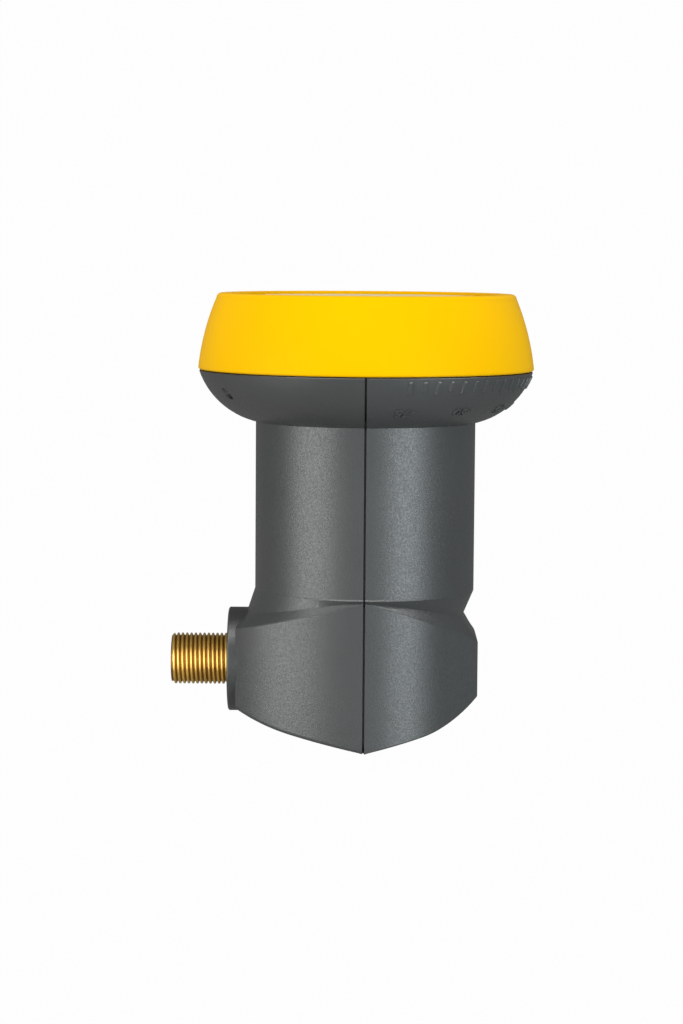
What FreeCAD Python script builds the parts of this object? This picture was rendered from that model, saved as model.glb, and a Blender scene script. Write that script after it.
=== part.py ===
import FreeCAD, Part
import math
import os

import Sketcher
from FreeCAD import Placement, Rotation, Vector

# Satellite LNB: feed cap, two housing halves, feed casting with its board, F-connector.
# The origin is the middle of the clamp neck on the feed axis, +Z runs up to the cap,
# the connector points to -X and the parting plane of the housing is X = 0.
SIZES = {
    # clamp neck and flared collar
    "neck_radius": 20.0,
    "neck_length": 30.6,
    "collar_radius": 30.3,
    "collar_height": 9.3,
    "collar_arc": 14.1,
    "spigot_step": 1.6,
    "spigot_height": 4.0,
    # feed cap and the blank disc in its face
    "cap_overhang": 0.2,
    "cap_height": 13.9,
    "cap_taper": 3.3,
    "cap_side_arc": 45.0,
    "cap_edge_round": 0.8,
    "cap_wall": 1.9,
    "cap_fit": 0.1,
    "label_margin": 2.9,
    "label_thickness": 0.3,
    "label_recess": 0.85,
    "label_fit": 0.2,
    "seal_width": 1.6,
    "seal_thickness": 1.0,
    # outer form of the lower housing
    "body_left_step": 3.2,
    "body_right_step": 0.6,
    "body_left_arc": 30.0,
    "roof_step": 0.5,
    "roof_left_drop": 5.9,
    "roof_right_drop": 8.1,
    "roof_right_bulge": 0.95,
    "groove_seam_depth": 0.3,
    "groove_side_depth": 1.8,
    "groove_slope": 0.22,
    "groove_left_lean": 1.7,
    "groove_left_slope": 0.185,
    "keel_clearance": 7.85,
    "keel_left_slope": 0.215,
    "keel_left_run": 13.0,
    "keel_left_rise": 6.15,
    "keel_left_arc": 48.0,
    "keel_right_slope": 0.25,
    "keel_right_run": 11.0,
    "keel_right_rise": 8.6,
    "keel_right_arc": 20.9,
    "parting_gap": 0.3,
    "parting_depth": 0.8,
    # hollow of the housing
    "neck_wall": 2.2,
    "throat_wall": 4.1,
    "throat_start": 3.4,
    "body_wall": 2.2,
    "keel_wall": 1.9,
    "collar_wall": 2.0,
    "flange_pocket": 3.0,
    "ledge_width": 1.6,
    # skew scale and weep holes
    "tick_height": 0.25,
    "tick_width": 0.9,
    "tick_length": 2.6,
    "short_tick_length": 2.0,
    "tick_drop": 0.6,
    "weep_radius": 1.0,
    "weep_offset": 14.4,
    "weep_drop": 3.7,
    # feed casting
    "guide_radius": 9.25,
    "guide_wall": 2.0,
    "guide_lip": 8.4,
    "flange_thickness": 2.0,
    "flange_fit": 0.2,
    "ring_wall": 1.2,
    "ring_gap": 0.3,
    "horn_gap": 0.8,
    "tray_drop": 8.9,
    "tray_fit": 0.3,
    "tray_right_gap": 3.0,
    "tray_side_gap": 1.6,
    "tray_height": 8.4,
    "tray_wall": 1.8,
    "post_radius": 2.4,
    "post_inset": 0.4,
    # board, lid and their fasteners
    "board_thickness": 1.0,
    "board_fit": 0.2,
    "gasket_thickness": 0.8,
    "cover_thickness": 1.4,
    "short_wall": 1.2,
    "short_gap": 1.2,
    "screw_radius": 1.25,
    "screw_length": 5.6,
    "screw_tip_gap": 0.4,
    "screw_head_radius": 2.2,
    "screw_head_height": 1.2,
    "screw_fit": 0.05,
    "cover_hole_fit": 0.3,
    # pickup probes and parts on the board
    "probe_radius": 0.4,
    "probe_reach": 4.8,
    "transistor_side": 1.6,
    "transistor_height": 0.8,
    "solder_gap": 0.1,
    "chip_side": 3.0,
    "chip_height": 0.9,
    "crystal_length": 3.2,
    "crystal_width": 2.5,
    "crystal_height": 1.0,
    "regulator_length": 4.0,
    "regulator_width": 2.5,
    "regulator_height": 1.5,
    "coil_radius": 1.5,
    "coil_height": 2.2,
    "capacitor_length": 2.0,
    "capacitor_width": 1.25,
    "capacitor_height": 1.2,
    "edge_gap": 0.8,
    "row_offset": 4.6,
    # F-connector
    "connector_drop": 1.55,
    "boss_radius": 9.5,
    "boss_step": 1.6,
    "boss_round": 0.4,
    "thread_radius": 4.7,
    "thread_length": 10.4,
    "thread_chamfer": 0.5,
    "relief_depth": 0.2,
    "relief_gap": 0.3,
    "socket_radius": 3.4,
    "shank_radius": 3.2,
    "shank_bore": 1.6,
    "hex_radius": 5.5,
    "hex_length": 2.6,
    "hex_clearance": 0.4,
    "gasket_length": 1.8,
    "connector_fit": 0.15,
    "shank_fit": 0.05,
    "insulator_fit": 0.05,
    "insulator_recess": 0.8,
    "insulator_front": 1.0,
    "entry_radius": 0.7,
    "contact_radius": 1.2,
    "contact_bore": 0.55,
    "contact_fit": 0.05,
    "contact_pin": 0.6,
    "contact_length": 13.0,
    "contact_tail": 1.8,
}

DIAGONAL = 0.7071
END_SHARE = 0.6
CURVE_SPANS = 6
GROOVE_CURVE = 1.4
TICK_STEP = 5.0
TICK_COUNT = 31
FAR = 60.0

doc = FreeCAD.newDocument("satellite_lnb")
sheet = doc.addObject("Spreadsheet::Sheet", "Sizes")
for row, (alias, number) in enumerate(SIZES.items(), start=1):
    sheet.set(f"A{row}", alias)
    sheet.set(f"B{row}", str(number))
    sheet.setAlias(f"B{row}", alias)
doc.recompute()


# A length that keeps its number and its formula in the sheet together.
class Length:
    def __init__(self, number, formula):
        self.number = number
        self.formula = formula

    def __add__(self, other):
        other = as_length(other)
        return Length(self.number + other.number, f"({self.formula} + {other.formula})")

    def __radd__(self, other):
        return as_length(other) + self

    def __sub__(self, other):
        other = as_length(other)
        return Length(self.number - other.number, f"({self.formula} - {other.formula})")

    def __rsub__(self, other):
        return as_length(other) - self

    def __mul__(self, factor):
        factor = as_length(factor)
        return Length(self.number * factor.number, f"({self.formula} * {factor.formula})")

    def __rmul__(self, factor):
        return self * factor

    def __truediv__(self, divisor):
        return Length(self.number / divisor, f"({self.formula} / {divisor})")

    def __neg__(self):
        return Length(-self.number, f"(0 - {self.formula})")


def as_length(value):
    if isinstance(value, Length):
        return value
    return Length(float(value), f"{value}")


def size(alias):
    return Length(float(sheet.get(alias)), f"Sizes.{alias}")


def bind(item, field, value):
    value = as_length(value)
    item.setExpression(field, value.formula)


def place(item, x=0, y=0, z=0, rotation=None):
    if rotation is not None:
        item.Placement = Placement(Vector(0, 0, 0), rotation)
    bind(item, "Placement.Base.x", x)
    bind(item, "Placement.Base.y", y)
    bind(item, "Placement.Base.z", z)
    return item


# Solids from primitives
def cylinder(name, radius, height, x=0, y=0, z=0, rotation=None):
    item = doc.addObject("Part::Cylinder", name)
    bind(item, "Radius", radius)
    bind(item, "Height", height)
    return place(item, x, y, z, rotation)


def box(name, x, y, z):
    item = doc.addObject("Part::Box", name)
    for field, low_high in (("Length", x), ("Width", y), ("Height", z)):
        bind(item, field, as_length(low_high[1]) - low_high[0])
    return place(item, x[0], y[0], z[0])


def centred_box(name, x, y, length, width, top, height):
    x_range = (x - length / 2, x + length / 2)
    y_range = (y - width / 2, y + width / 2)
    return box(name, x_range, y_range, (top - height, top))


def fuse(name, items):
    item = doc.addObject("Part::MultiFuse", name)
    item.Shapes = items
    item.Refine = True
    return item


def cut(name, base, tools):
    item = doc.addObject("Part::Cut", name)
    item.Base = base
    item.Tool = tools[0] if len(tools) == 1 else fuse(name + "_tools", tools)
    return item


def common(name, first, second):
    item = doc.addObject("Part::Common", name)
    item.Base = first
    item.Tool = second
    return item


def group(name, items):
    item = doc.addObject("Part::Compound", name)
    item.Links = items
    return item


# Outlines: each corner is (u, v), or (u, v, radius) where an arc arrives at it,
# positive when the arc runs anticlockwise.
def arc_edge(start, end, radius):
    chord = end - start
    half = chord.Length / 2
    side = math.sqrt(radius * radius - half * half)
    normal = Vector(-chord.y, chord.x, 0).normalize()
    centre = (start + end) / 2 + normal * (side if radius > 0 else -side)
    first, last = (start, end) if radius > 0 else (end, start)
    circle = Part.Circle(centre, Vector(0, 0, 1), abs(radius))
    angles = [math.atan2(point.y - centre.y, point.x - centre.x) for point in (first, last)]
    return Part.ArcOfCircle(circle, angles[0], angles[1])


def draw_outline(sketch, corners):
    corners = [tuple(as_length(value) for value in corner) for corner in corners]
    points = [Vector(corner[0].number, corner[1].number, 0) for corner in corners]
    ends = []
    for index, corner in enumerate(corners):
        start = points[index - 1]
        end = points[index]
        if len(corner) == 3:
            edge = sketch.addGeometry(arc_edge(start, end, corner[2].number), False)
            ends.append((edge, 1, 2) if corner[2].number > 0 else (edge, 2, 1))
            mark = sketch.addConstraint(Sketcher.Constraint("Radius", edge, abs(corner[2].number)))
            radius = corner[2] if corner[2].number > 0 else -corner[2]
            sketch.setExpression(f"Constraints[{mark}]", radius.formula)
        else:
            edge = sketch.addGeometry(Part.LineSegment(start, end), False)
            ends.append((edge, 1, 2))
    for index, corner in enumerate(corners):
        edge, _, last = ends[index]
        follower, first, _ = ends[(index + 1) % len(ends)]
        sketch.addConstraint(Sketcher.Constraint("Coincident", edge, last, follower, first))
        for kind, value in (("DistanceX", corner[0]), ("DistanceY", corner[1])):
            rule = Sketcher.Constraint(kind, -1, 1, edge, last, value.number)
            mark = sketch.addConstraint(rule)
            sketch.setExpression(f"Constraints[{mark}]", value.formula)


def plane_of(body, role):
    return next(item for item in body.Origin.OriginFeatures if item.Role == role)


def sketch_in(body, role, corners):
    sketch = body.newObject("Sketcher::SketchObject", body.Name + "_outline")
    sketch.AttachmentSupport = [(plane_of(body, role), "")]
    sketch.MapMode = "FlatFace"
    draw_outline(sketch, corners)
    return sketch


# A turned piece: its outline holds (radius, height) corners.
def turned(name, corners):
    body = doc.addObject("PartDesign::Body", name)
    sketch = sketch_in(body, "XZ_Plane", corners)
    revolution = body.newObject("PartDesign::Revolution", name + "_turn")
    revolution.Profile = sketch
    revolution.ReferenceAxis = (sketch, ["V_Axis"])
    revolution.Angle = 360.0
    body.Tip = revolution
    return body


# A bar whose outline lies in the XZ plane and whose width runs both ways along Y.
def side_profile(name, corners):
    body = doc.addObject("PartDesign::Body", name)
    sketch = sketch_in(body, "XZ_Plane", corners)
    pad = body.newObject("PartDesign::Pad", name + "_pad")
    pad.Profile = sketch
    pad.Length = 2 * FAR
    pad.Midplane = True
    body.Tip = pad
    return body


# Named places that several pieces share, radii first and then heights
spigot_radius = size("collar_radius") - size("spigot_step")
spigot_bore = spigot_radius - size("collar_wall")
cap_radius = size("collar_radius") + size("cap_overhang")
cap_top_radius = cap_radius - size("cap_taper")
label_radius = cap_top_radius - size("label_margin")
throat_bore = size("neck_radius") - size("throat_wall")
chamber_radius = size("neck_radius") - size("body_wall")
body_left = size("neck_radius") + size("body_left_step")
body_right = size("neck_radius") + size("body_right_step")
chamber_left = body_left - size("body_wall")
boss_reach = body_left + size("boss_step")
tray_radius = chamber_radius - size("tray_fit")
tray_left = chamber_left - size("gasket_length") - size("hex_length")
tray_right = chamber_radius - size("tray_right_gap")
tray_side = chamber_radius - size("tray_side_gap")
neck_top = size("neck_length") / 2
neck_bottom = -neck_top
cap_base = neck_top + size("collar_height")
cap_top = cap_base + size("cap_height")
spigot_top = cap_base + size("spigot_height")
seal_top = spigot_top + size("seal_thickness")
recess_floor = cap_top - size("label_recess")
ledge_height = cap_base - size("flange_pocket")
flange_top = ledge_height + size("flange_thickness")
tray_top = neck_bottom - size("tray_drop")
chamber_top = tray_top + size("flange_fit")
board_top = tray_top - size("tray_wall")
board_bottom = board_top - size("board_thickness")
connector_height = board_bottom - size("connector_drop")
tray_rim = tray_top - size("tray_height")
gasket_bottom = tray_rim - size("gasket_thickness")
cover_bottom = gasket_bottom - size("cover_thickness")
keel_bottom = cover_bottom - size("keel_clearance")
TOWARDS_LEFT = Rotation(Vector(0, 1, 0), -90)


# Feed cap: bulged side, rounded top edge, a shallow recess and a skirt over the spigot
def make_feed_cap():
    inner_top = recess_floor - size("cap_wall")
    edge_start = cap_top - size("cap_edge_round")
    inner_radius = cap_top_radius - size("cap_wall")
    bore = spigot_radius + size("cap_fit")
    seat = seal_top
    return turned("feed_cap", [
        (0, inner_top),
        (inner_radius, inner_top),
        (bore - size("seal_width"), seat),
        (bore, seat),
        (bore, cap_base),
        (cap_radius, cap_base),
        (cap_top_radius, edge_start, size("cap_side_arc")),
        (cap_top_radius - size("cap_edge_round"), cap_top, size("cap_edge_round") * 1.1),
        (label_radius + size("label_fit"), cap_top),
        (label_radius + size("label_fit"), recess_floor),
        (0, recess_floor),
    ])


def make_front_label():
    return cylinder("front_label", label_radius, size("label_thickness"), z=recess_floor)


def make_cap_seal():
    outer = spigot_radius - size("cap_fit")
    inner = outer - size("seal_width")
    return turned("cap_seal", [
        (inner, spigot_top),
        (outer, spigot_top),
        (outer, seal_top),
        (inner, seal_top),
    ])


# Collar, neck and spigot of the housing, before it is hollowed and parted
def make_upper_form():
    return turned("upper_form", [
        (0, neck_bottom),
        (size("neck_radius"), neck_bottom),
        (size("neck_radius"), neck_top),
        (size("collar_radius"), cap_base, size("collar_arc")),
        (spigot_radius, cap_base),
        (spigot_radius, spigot_top),
        (0, spigot_top),
    ])


# Lower housing: the plan runs from a round front to a flat end on each side. Its edge falls
# away from the neck to both sides, with a groove between the neck and that edge. The groove
# deepens to the right end, and to the left it leans outwards and opens into a shoulder.
class LowerForm:
    def __init__(self):
        self.neck = size("neck_radius").number
        self.left = body_left.number
        self.right = body_right.number
        self.arc = size("body_left_arc").number
        self.top = neck_bottom.number
        self.floor = keel_bottom.number - size("body_wall").number
        self.facet = self.neck * math.sqrt(2)

    def plan_point(self, angle, side):
        along = math.sin(angle)
        across = abs(math.cos(angle))
        if side > 0:
            reach = self.neck
            if along > across:
                reach = min(self.facet / (along + across), self.right / along)
        else:
            shift = (self.arc - self.neck) * across
            offset = self.arc - self.neck
            reach = math.sqrt(shift * shift + self.arc * self.arc - offset * offset) - shift
            reach = min(reach, self.left / max(along, 0.001))
        return Vector(side * reach * along, -reach * math.cos(angle), 0)

    def roof_height(self, x):
        step = self.top - size("roof_step").number
        if x <= 0:
            return step + size("roof_left_drop").number * x / self.left
        share = x / self.right
        bulge = 4 * size("roof_right_bulge").number * share * (1 - share)
        return step - size("roof_right_drop").number * share + bulge

    def rows(self, side, start, end, count):
        neck_row = []
        groove_row = []
        roof_row = []
        floor_row = []
        seam_depth = size("groove_seam_depth").number
        side_depth = size("groove_side_depth").number
        left_lean = size("groove_left_lean").number
        slope = size("groove_slope" if side > 0 else "groove_left_slope").number
        for index in range(count + 1):
            angle = start + (end - start) * index / count
            plan = self.plan_point(angle, side)
            along = math.sin(angle)
            if side > 0:
                reach = self.neck - seam_depth - (side_depth - seam_depth) * along
            else:
                reach = self.neck - seam_depth + left_lean * along * along
            outward = Vector(side * along, -math.cos(angle), 0)
            fall = slope * reach * along ** GROOVE_CURVE
            groove_height = self.top - size("roof_step").number / 2 - fall
            neck_row.append(outward * self.neck + Vector(0, 0, self.top))
            groove_row.append(outward * reach + Vector(0, 0, groove_height))
            roof_row.append(plan + Vector(0, 0, self.roof_height(plan.x)))
            floor_row.append(plan + Vector(0, 0, self.floor))
        return neck_row, groove_row, roof_row, floor_row

    def solid(self):
        facet_start = math.pi / 4
        right_corner = math.atan2(self.right, self.facet - self.right)
        left_depth = math.sqrt(self.arc ** 2 - self.left ** 2) - self.arc + self.neck
        left_corner = math.atan2(self.left, left_depth)
        right_stops = [0, facet_start, right_corner]
        left_stops = [0, left_corner]
        right_stops += [math.pi - stop for stop in reversed(right_stops)]
        left_stops += [math.pi - stop for stop in reversed(left_stops)]
        faces = []
        top_edges = []
        floor_edges = []
        for side, stops in ((1, right_stops), (-1, left_stops)):
            for start, end in zip(stops, stops[1:]):
                rows = self.rows(side, start, end, CURVE_SPANS)
                neck_row, groove_row, roof_row, floor_row = [curve(row) for row in rows]
                faces.append(Part.makeRuledSurface(neck_row, groove_row))
                faces.append(Part.makeRuledSurface(groove_row, roof_row))
                faces.append(Part.makeRuledSurface(roof_row, floor_row))
                top_edges.append(neck_row)
                floor_edges.append(floor_row)
        for edges in (top_edges, floor_edges):
            faces.append(Part.Face(Part.Wire(Part.__sortEdges__(edges))))
        shell = Part.makeShell(faces)
        shell.sewShape()
        solid = Part.makeSolid(shell)
        if solid.Volume < 0:
            solid.reverse()
        return solid


def curve(points):
    spline = Part.BSplineCurve()
    spline.interpolate(points)
    return spline.toShape()


# Keel outline: two shallow slopes that meet under the parting line and turn up to the
# flat ends. The inset moves it inwards, which gives the floor of the hollow.
def keel_corners(inset):
    left = body_left
    right = body_right
    left_run = size("keel_left_run")
    right_run = size("keel_right_run")
    bottom = keel_bottom + inset
    left_end = bottom + size("keel_left_rise") - inset * END_SHARE
    right_end = bottom + size("keel_right_rise") - inset * END_SHARE
    margin = size("body_wall")
    return [
        (-left + inset, left_end),
        (-left_run, bottom + left_run * size("keel_left_slope"), size("keel_left_arc") - inset),
        (0, bottom),
        (right_run, bottom + right_run * size("keel_right_slope")),
        (right - inset, right_end, size("keel_right_arc") - inset),
        (right - inset + margin, right_end + margin),
        (right - inset + margin, neck_top),
        (-left + inset - margin, neck_top),
        (-left + inset - margin, left_end + margin),
    ]


# The hollow of both halves: collar pocket, neck, throat and the chamber round the tray
def make_hollow():
    neck_bore = size("neck_radius") - size("neck_wall")
    upper = turned("upper_hollow", [
        (0, chamber_top - size("body_wall")),
        (throat_bore, chamber_top - size("body_wall")),
        (throat_bore, neck_bottom + size("throat_start")),
        (neck_bore, neck_bottom + size("throat_start")),
        (neck_bore, neck_top),
        (spigot_bore - size("ledge_width"), ledge_height),
        (spigot_bore, ledge_height),
        (spigot_bore, spigot_top + size("spigot_height")),
        (0, spigot_top + size("spigot_height")),
    ])
    depth = chamber_top - keel_bottom
    right_room = cylinder("right_room", chamber_radius, depth, z=keel_bottom)
    lens_radius = size("body_left_arc") - size("body_wall")
    lens_shift = size("body_left_arc") - size("neck_radius")
    front_lens = cylinder("front_lens", lens_radius, depth, y=lens_shift, z=keel_bottom)
    rear_lens = cylinder("rear_lens", lens_radius, depth, y=-lens_shift, z=keel_bottom)
    lens = common("lens", front_lens, rear_lens)
    width = (-size("neck_radius"), size("neck_radius"))
    half = box("left_half", (-chamber_left, 0), width, (keel_bottom, chamber_top))
    left_room = common("left_room", lens, half)
    floor = side_profile("floor_profile", keel_corners(size("keel_wall")))
    rooms = fuse("rooms", [right_room, left_room])
    return fuse("hollow", [upper, common("chamber", rooms, floor)])


# Lap inside the parting gap: the plain half carries it, and the other half meets its face.
# It stays back from the outer surface, which leaves the groove of the parting line.
def make_lap(hollow):
    depth = size("parting_depth")
    half_gap = size("parting_gap") / 2
    core = turned("lap_core", [
        (0, keel_bottom + depth),
        (size("neck_radius") - depth, keel_bottom + depth),
        (size("neck_radius") - depth, neck_top + depth),
        (size("collar_radius") - depth, cap_base, size("collar_arc") - depth),
        (spigot_radius, cap_base),
        (spigot_radius, spigot_top),
        (0, spigot_top),
    ])
    reach = (-FAR, FAR)
    slab = box("lap_slab", (-half_gap, size("parting_gap")), reach, reach)
    return cut("lap", common("lap_form", core, slab), [hollow])


# Raised ticks of the skew scale: a thin skin over the collar, kept only at the ticks, of
# which every second one is short
def make_scale():
    high = cap_base - size("tick_drop")
    lengths = [size("tick_length"), size("short_tick_length")]
    lift = size("tick_height")
    skin = turned("scale_skin", [
        (size("neck_radius"), neck_top),
        (size("neck_radius") + lift, neck_top),
        (size("collar_radius") + lift, cap_base, size("collar_arc")),
        (size("neck_radius"), cap_base),
    ])
    blades = []
    for index in range(TICK_COUNT):
        turn = (index - (TICK_COUNT - 1) / 2) * TICK_STEP
        blade = box(
            f"tick_{index}",
            (size("neck_radius"), size("collar_radius") + 2 * lift),
            (-size("tick_width") / 2, size("tick_width") / 2),
            (high - lengths[index % 2], high),
        )
        carrier = doc.addObject("Part::Compound", f"turned_tick_{index}")
        carrier.Links = [blade]
        carrier.Placement = Placement(Vector(0, 0, 0), Rotation(Vector(0, 0, 1), turn))
        blades.append(carrier)
    return common("scale", skin, group("blades", blades))


# The two housing halves, parted by a narrow gap at X = 0
def make_shells():
    lower = doc.addObject("Part::Feature", "lower_form")
    lower.Shape = LowerForm().solid()
    keel = side_profile("keel_profile", keel_corners(as_length(0)))
    body = common("lower_body", lower, keel)
    outer = fuse("outer_form", [make_upper_form(), body])
    hollow = make_hollow()
    half_gap = size("parting_gap") / 2
    reach = (-FAR, FAR)
    left_space = box("left_space", (-FAR, -half_gap), reach, reach)
    right_space = box("right_space", (half_gap, FAR), reach, reach)

    boss = turned("boss", [
        (0, chamber_left - size("body_wall")),
        (size("boss_radius"), chamber_left - size("body_wall")),
        (size("boss_radius"), boss_reach - size("boss_round")),
        (size("boss_radius") - size("boss_round"), boss_reach, size("boss_round")),
        (0, boss_reach),
    ])
    place(boss, z=connector_height, rotation=TOWARDS_LEFT)
    bore_radius = size("thread_radius") + size("connector_fit")
    bore = cylinder("connector_bore", bore_radius, FAR, z=connector_height, rotation=TOWARDS_LEFT)
    pocket_radius = size("hex_radius") + size("hex_clearance")
    pocket = cylinder("connector_pocket", pocket_radius, chamber_left,
                      z=connector_height, rotation=TOWARDS_LEFT)
    weeps = []
    for name, side in (("front_weep", -1), ("rear_weep", 1)):
        weeps.append(cylinder(name, size("weep_radius"), FAR, y=size("weep_offset") * side,
                              z=cap_base - size("weep_drop"), rotation=TOWARDS_LEFT))

    left_half = common("left_half_form", outer, left_space)
    right_half = common("right_half_form", outer, right_space)
    left = cut("connector_side_shell", fuse("left_with_boss", [left_half, boss]),
               [hollow, bore, pocket] + weeps)
    right = cut("right_hollowed", fuse("right_with_scale", [right_half, make_scale()]), [hollow])
    right = fuse("plain_side_shell", [right, make_lap(hollow)])
    return left, right


# Tray outline: a disc with one flat for the connector, one opposite and two at the sides
def tray_plan(name, inset, low, high):
    disc = cylinder(name + "_disc", tray_radius - inset, high - low, z=low)
    side = tray_side - inset
    ends = (-tray_left + inset, tray_right - inset)
    block = box(name + "_block", ends, (-side, side), (low, high))
    return common(name, disc, block)


def post_places():
    distance = tray_radius - size("post_radius") - size("post_inset")
    for x_side in (-DIAGONAL, DIAGONAL):
        for y_side in (-DIAGONAL, DIAGONAL):
            yield distance * x_side, distance * y_side


# Feed casting: ringed horn, round waveguide and electronics tray in one piece
def make_feed_casting():
    guide = size("guide_radius")
    tube = guide + size("guide_wall")
    rim = spigot_bore - size("flange_fit")
    rib = size("ring_wall")
    ring_top = recess_floor - size("cap_wall") - size("horn_gap")
    lip = flange_top + size("guide_lip")
    outer_ring = cap_top_radius - size("cap_wall") - size("ring_gap")
    corners = [
        (guide, board_top),
        (tube, board_top),
        (tube, ledge_height),
        (rim, ledge_height),
        (rim, flange_top),
        (outer_ring, flange_top),
        (outer_ring, ring_top),
        (outer_ring - rib, ring_top),
        (outer_ring - rib, flange_top),
    ]
    for share in (2, 1):
        radius = tube + (outer_ring - tube) * share / 3
        corners += [
            (radius, flange_top),
            (radius, ring_top),
            (radius - rib, ring_top),
            (radius - rib, flange_top),
        ]
    corners += [(tube, flange_top), (tube, lip), (guide, lip)]
    horn = turned("horn", corners)

    tray = tray_plan("tray", as_length(0), tray_rim, tray_top)
    room = tray_plan("tray_room", size("tray_wall"), tray_rim, board_top)
    posts = []
    holes = []
    for index, (x, y) in enumerate(post_places()):
        posts.append(cylinder(f"post_{index}", size("post_radius"), tray_top - tray_rim, x, y, tray_rim))
        holes.append(cylinder(f"post_hole_{index}", size("screw_radius") + size("screw_fit"),
                              size("screw_length"), x, y, tray_rim))
    guide_bore = cylinder("guide_bore", guide, tray_top - tray_rim, z=tray_rim)
    shank = cylinder("shank_hole", size("shank_radius") + size("shank_fit"), FAR,
                     z=connector_height, rotation=TOWARDS_LEFT)
    walls = cut("tray_walls", tray, [room])
    posts_inside = common("posts_inside", fuse("posts", posts), tray)
    return cut("feed_casting", fuse("casting_form", [horn, walls, posts_inside]),
               holes + [guide_bore, shank])


# Board under the tray's roof, with a window for the waveguide and room for the posts
def make_circuit_board():
    inset = size("tray_wall") + size("board_fit")
    plate = tray_plan("board_plate", inset, board_bottom, board_top)
    cuts = [cylinder("board_window", size("guide_radius"), size("board_thickness"), z=board_bottom)]
    for index, (x, y) in enumerate(post_places()):
        cuts.append(cylinder(f"board_notch_{index}", size("post_radius") + size("board_fit"),
                             size("board_thickness"), x, y, board_bottom))
    return cut("circuit_board", plate, cuts)


def make_cover_gasket():
    plate = tray_plan("gasket_plate", as_length(0), gasket_bottom, tray_rim)
    cuts = [tray_plan("gasket_opening", size("tray_wall"), gasket_bottom, tray_rim)]
    for index, (x, y) in enumerate(post_places()):
        cuts.append(cylinder(f"gasket_hole_{index}", size("screw_radius") + size("cover_hole_fit"),
                             size("gasket_thickness"), x, y, gasket_bottom))
    return cut("cover_gasket", plate, cuts)


# Lid with the back short: a closed cup under the waveguide
def make_tray_cover():
    plate = tray_plan("cover_plate", as_length(0), cover_bottom, gasket_bottom)
    guide = size("guide_radius")
    cup = turned("back_short", [
        (guide, gasket_bottom),
        (guide + size("short_wall"), gasket_bottom),
        (guide + size("short_wall"), board_bottom - size("short_gap")),
        (guide, board_bottom - size("short_gap")),
    ])
    holes = []
    for index, (x, y) in enumerate(post_places()):
        holes.append(cylinder(f"cover_hole_{index}", size("screw_radius") + size("cover_hole_fit"),
                              size("cover_thickness"), x, y, cover_bottom))
    return cut("tray_cover", fuse("cover_form", [plate, cup]), holes)


def make_cover_screws():
    screws = []
    shank = size("screw_length") + size("gasket_thickness") + size("cover_thickness")
    for index, (x, y) in enumerate(post_places()):
        head = cylinder(f"screw_head_{index}", size("screw_head_radius"), size("screw_head_height"),
                        x, y, cover_bottom - size("screw_head_height"))
        stem = cylinder(f"screw_stem_{index}", size("screw_radius"), shank - size("screw_tip_gap"),
                        x, y, cover_bottom)
        screws.append(fuse(f"screw_{index}", [head, stem]))
    return group("cover_screws", screws)


# Pickup probes: soldered pins under the board that reach into the waveguide, each with its
# first amplifier beside its outer end
def make_probes():
    height = board_bottom - size("probe_radius")
    reach = size("probe_reach")
    radius = size("probe_radius")
    side = size("transistor_side")
    pieces = []
    for name, wall, turn in (
        ("horizontal", tray_right, Rotation(Vector(0, 1, 0), 90)),
        ("vertical", tray_side, Rotation(Vector(1, 0, 0), -90)),
    ):
        out = wall - size("tray_wall") - size("edge_gap") - side / 2
        length = out - side / 2 - size("solder_gap") - reach
        start = (reach, 0) if name == "horizontal" else (0, reach)
        seat = (out, as_length(0)) if name == "horizontal" else (as_length(0), out)
        pieces.append(cylinder(f"{name}_probe", radius, length, *start, height, turn))
        pieces.append(centred_box(f"{name}_amplifier", *seat, side, side, board_bottom,
                                  size("transistor_height")))
    return pieces


# Larger parts along the board's edges, all on its underside
def make_board_parts():
    offset = size("row_offset")
    right_edge = tray_right - size("tray_wall") - size("edge_gap")
    left_edge = tray_left - size("tray_wall") - size("edge_gap")
    side_edge = tray_side - size("tray_wall") - size("edge_gap")
    chip = size("chip_side")
    length = size("capacitor_length")
    width = size("capacitor_width")
    capacitors = []
    for index, side in enumerate((-1, 1)):
        capacitors.append(centred_box(
            f"capacitor_rear_{index}", offset * side, side_edge - width / 2, length, width,
            board_bottom, size("capacitor_height")))
        capacitors.append(centred_box(
            f"capacitor_right_{index}", right_edge - width / 2, offset * side, width, length,
            board_bottom, size("capacitor_height")))
    crystal_width = size("crystal_width")
    regulator_width = size("regulator_width")
    coil = size("coil_radius")
    return [
        centred_box("mixer_chip", offset, -side_edge + chip / 2, chip, chip,
                    board_bottom, size("chip_height")),
        centred_box("reference_crystal", -offset, -side_edge + crystal_width / 2,
                    size("crystal_length"), crystal_width, board_bottom, size("crystal_height")),
        centred_box("voltage_regulator", -left_edge + regulator_width / 2, offset,
                    regulator_width, size("regulator_length"), board_bottom,
                    size("regulator_height")),
        cylinder("filter_coil", coil, size("coil_height"), -left_edge + coil, -offset,
                 board_bottom - size("coil_height")),
        group("capacitors", capacitors),
    ]


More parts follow.
